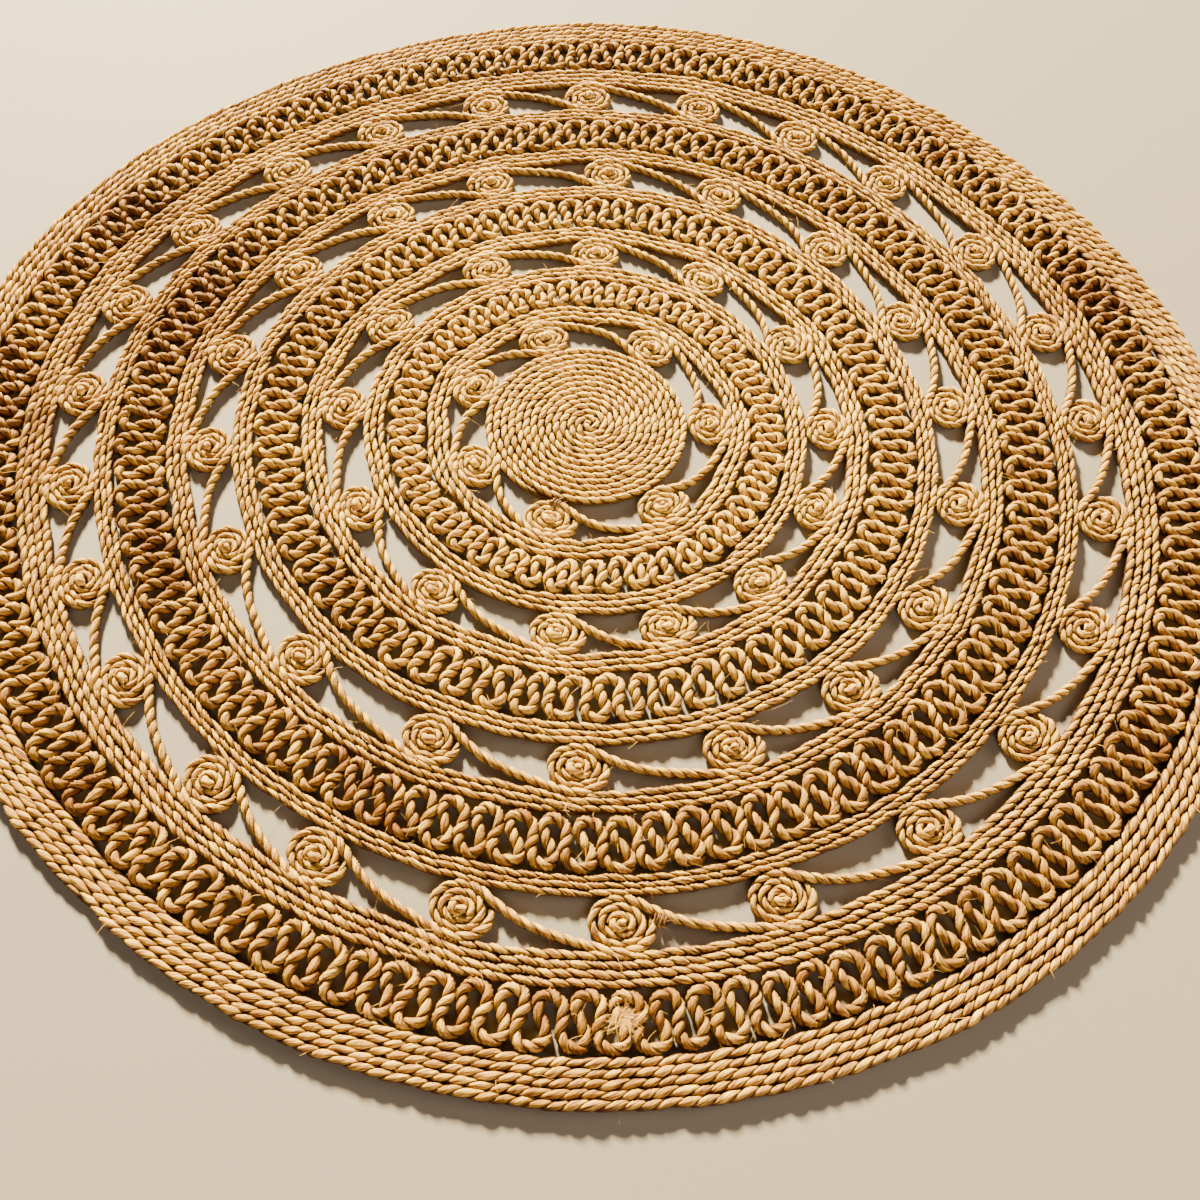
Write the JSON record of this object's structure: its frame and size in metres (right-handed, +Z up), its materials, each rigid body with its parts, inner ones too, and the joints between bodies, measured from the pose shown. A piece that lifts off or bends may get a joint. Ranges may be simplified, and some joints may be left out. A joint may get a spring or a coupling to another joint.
{
  "type": "round jute rug",
  "caption": "Flat round rug of sewn jute cord: a wound centre disc inside alternating rings of plain rows, coiled scrolls and openwork zigzag loops, with a rowed border.",
  "frame": {"origin": "on the floor plane, under the middle of the box around the rug's outline", "axes": "+Z up out of the floor through the rug's thickness; +X to the right and +Y away from the viewer of the picture"},
  "size_m": [1.2046, 1.205, 0.0095],
  "materials": {
    "row_cord": "matt twisted jute, golden straw",
    "coil_cord": "matt twisted jute, golden straw",
    "loop_cord": "matt twisted jute, straw to reddish brown"
  },
  "bodies": {
    "root": {"centre_disc": "row_cord", "scroll_ring_1": "coil_cord", "band_1": "row_cord", "wave_ring_1": "loop_cord", "band_2": "row_cord", "scroll_ring_2": "coil_cord", "band_3": "row_cord", "wave_ring_2": "loop_cord", "band_4": "row_cord", "scroll_ring_3": "coil_cord", "band_5": "row_cord", "wave_ring_3": "loop_cord", "band_6": "row_cord", "scroll_ring_4": "coil_cord", "band_7": "row_cord", "wave_ring_4": "loop_cord", "border": "row_cord"}
  },
  "joints": []
}
